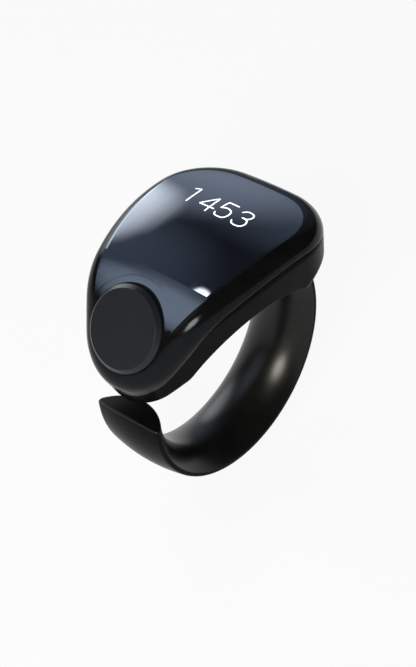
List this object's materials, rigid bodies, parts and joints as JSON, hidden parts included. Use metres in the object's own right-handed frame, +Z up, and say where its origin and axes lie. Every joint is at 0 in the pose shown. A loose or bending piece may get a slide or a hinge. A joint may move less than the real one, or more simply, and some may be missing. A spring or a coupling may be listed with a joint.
{
  "type": "finger tally counter",
  "caption": "Digital tasbih finger counter: domed black head with a smoked window over a number display, a round push button on its slope, and an open spring band that grips the finger.",
  "frame": {"origin": "centre of the finger hole, in the middle plane of the band", "axes": "+Y along the finger, +Z up through the head, +X towards the wide end of the head where the band is rooted"},
  "size_m": [0.0273, 0.019, 0.029],
  "materials": {
    "shell_black": "fine satin moulding",
    "gloss_black": "polished",
    "smoked_window": "polished, smoked",
    "button_grey": "fine matte",
    "soft_black": "soft-touch matte",
    "seal_rubber": "moulded silicone",
    "foam_black": "closed-cell foam",
    "switch_nylon": "moulded",
    "sheet_steel": "stamped",
    "spring_steel": "rolled strip",
    "board_green": "solder mask",
    "flex_amber": "polyimide film",
    "chip_epoxy": "moulded epoxy",
    "chip_ceramic": "fired, tinned ends",
    "can_metal": "pressed can",
    "contact_gold": "plated",
    "tape_white": "foam tape",
    "display_glass": "polished",
    "cell_can": "drawn can"
  },
  "bodies": {
    "head": {"lower_housing": "shell_black", "top_cover": "gloss_black", "window": "smoked_window", "cover_gasket": "seal_rubber", "switch_frame": "sheet_steel", "switch_body": "switch_nylon", "switch_dome": "sheet_steel", "switch_board": "board_green", "switch_flex": "flex_amber", "main_board": "board_green", "board_screws": "sheet_steel", "controller_chip": "chip_epoxy", "charger_chip": "chip_epoxy", "crystal": "can_metal", "chip_parts": "chip_ceramic", "charge_contacts": "contact_gold", "display_tape": "tape_white", "display_panel": "display_glass", "display_foam": "foam_black", "display_flex": "flex_amber", "battery": "cell_can", "battery_tabs": "sheet_steel", "battery_pad": "foam_black", "band_pins": "spring_steel"},
    "button": {"count_button": "button_grey", "button_seal": "seal_rubber"},
    "plunger": {"switch_plunger": "switch_nylon"},
    "band": {"band": "soft_black", "band_spring": "spring_steel"}
  },
  "joints": [
    {"name": "button_press", "type": "slide", "parent": "head", "child": "button", "axis": [0.8829, 0, -0.4695], "range_m": [0, 0.00025], "stiffness_N_per_m": 4000},
    {"name": "plunger_press", "type": "slide", "parent": "head", "child": "plunger", "axis": [0.8829, 0, -0.4695], "range_m": [0, 0.00025], "deforming": ["switch_dome"]},
    {"name": "band_flex", "type": "hinge", "parent": "head", "child": "band", "pos_m": [0.01002, 0, 0.00812], "axis": [0, -1, 0], "range_deg": [0, 12], "stiffness_Nm_per_rad": 0.4, "deforming": ["band_spring"]}
  ],
  "couplings": [
    {"joint": "plunger_press", "follows": "button_press", "ratio": 1}
  ]
}
